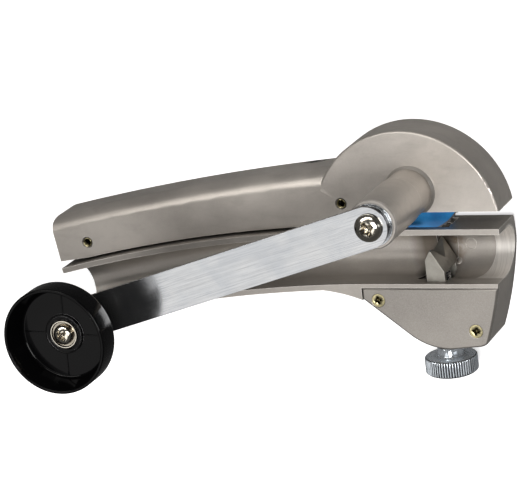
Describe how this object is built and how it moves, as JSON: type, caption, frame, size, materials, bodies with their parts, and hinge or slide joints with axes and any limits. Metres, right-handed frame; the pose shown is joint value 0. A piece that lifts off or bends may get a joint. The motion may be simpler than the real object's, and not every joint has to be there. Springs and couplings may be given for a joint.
{
  "type": "armoured cable stripper",
  "caption": "Hand-cranked stripper for flexible armoured cable: C-shaped trough, hinged lever with half-moon blade guard, crank arm with cup knob, and a thumbscrew clamp.",
  "frame": {"origin": "where the crank axis meets the flat back that the tool rests on", "axes": "+X along the trough towards the end where the blade is, +Y from the trough towards the top of the guard, +Z out of the front along the crank axis"},
  "size_m": [0.2246, 0.1163, 0.1085],
  "materials": {
    "cast_metal": "satin die casting, lightly tumbled, with bare bright edges",
    "plated_steel": "bright zinc plating over rolled or turned steel",
    "nickel": "bright nickel plating",
    "yellow_zinc": "yellow passivated zinc",
    "bronze": "sintered bronze",
    "blade_blue": "blue coating over tool steel, teeth ground bright",
    "sintered_steel": "matte sintered steel",
    "black_plastic": "gloss black moulding"
  },
  "bodies": {
    "body": {"trough_body": "cast_metal", "clamp_cover": "cast_metal", "cover_screws": "yellow_zinc", "thread_insert": "bronze"},
    "lever": {"lever_shell": "cast_metal", "guard_back_cover": "cast_metal", "back_cover_screws": "yellow_zinc", "boss_bushing": "bronze", "rear_bushing": "bronze", "pivot_screw": "yellow_zinc", "pivot_spacers": "plated_steel", "guide_screw": "yellow_zinc"},
    "crank": {"crank_shaft": "plated_steel", "cutter_blade": "blade_blue", "blade_washer": "plated_steel", "blade_nut": "plated_steel", "flat_washer": "plated_steel", "spring_washer": "plated_steel", "crank_arm": "plated_steel", "crank_screw": "nickel", "knob_sleeve": "plated_steel", "knob_screw": "nickel", "knob_nut": "plated_steel"},
    "knob": {"crank_knob": "black_plastic"},
    "jaw": {"clamp_jaw": "sintered_steel"},
    "thumbscrew": {"clamp_stud": "plated_steel", "clamp_knob": "plated_steel", "stud_clip": "plated_steel"}
  },
  "joints": [
    {"name": "lever_hinge", "type": "hinge", "parent": "body", "child": "lever", "pos_m": [-0.165, -0.0232, 0.011], "axis": [0, 0, 1], "range_deg": [0, 4]},
    {"name": "crank_spin", "type": "hinge", "parent": "lever", "child": "crank", "pos_m": [0, 0, 0.04], "axis": [0, 0, 1], "continuous": true},
    {"name": "knob_spin", "type": "hinge", "parent": "crank", "child": "knob", "pos_m": [-0.14334, -0.04246, 0.09], "axis": [0, 0, 1], "continuous": true},
    {"name": "jaw_slide", "type": "slide", "parent": "body", "child": "jaw", "axis": [0, 1, 0], "range_m": [-0.0125, 0.002]},
    {"name": "thumbscrew_turn", "type": "hinge", "parent": "jaw", "child": "thumbscrew", "pos_m": [0.0084, -0.08, 0.0141], "axis": [0, 1, 0], "range_deg": [-3600.1, 576.1]}
  ],
  "couplings": [
    {"joint": "thumbscrew_turn", "follows": "jaw_slide", "rad_per_m": 5026.5}
  ]
}
